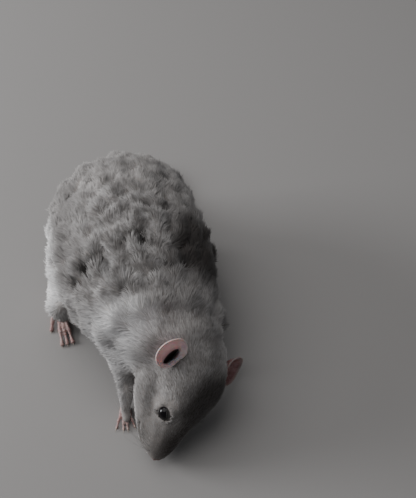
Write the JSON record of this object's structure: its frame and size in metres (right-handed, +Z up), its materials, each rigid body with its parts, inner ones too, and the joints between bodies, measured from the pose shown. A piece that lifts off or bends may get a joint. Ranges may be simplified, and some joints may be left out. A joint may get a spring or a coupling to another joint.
{
  "type": "rat",
  "caption": "Life-size curly-coated rat on four feet with its nose down to the floor and its head turned, tail curled behind.",
  "frame": {"origin": "middle of the whole box's foot, on the floor", "axes": "+Z up; the rat's body runs along Y with its head towards -Y, and its left side is +X"},
  "size_m": [0.1028, 0.2068, 0.0838],
  "materials": {
    "coat": "soft curly fur",
    "paw": "bare skin",
    "tail": "ringed bare skin",
    "ear": "thin bare skin",
    "eye": "wet gloss"
  },
  "bodies": {
    "root": {"head": "coat", "neck": "coat", "chest": "coat", "loin": "coat", "rump": "coat", "upper_arm_right": "coat", "upper_arm_left": "coat", "forearm_right": "coat", "forearm_left": "coat", "thigh_right": "coat", "thigh_left": "coat", "shank_right": "coat", "shank_left": "coat", "fore_paw_right": "paw", "fore_paw_left": "paw", "hind_foot_right": "paw", "hind_foot_left": "paw", "tail_1": "tail", "tail_2": "tail", "tail_3": "tail", "tail_4": "tail", "ear_right": "ear", "ear_left": "ear", "eye_right": "eye", "eye_left": "eye"}
  },
  "joints": []
}
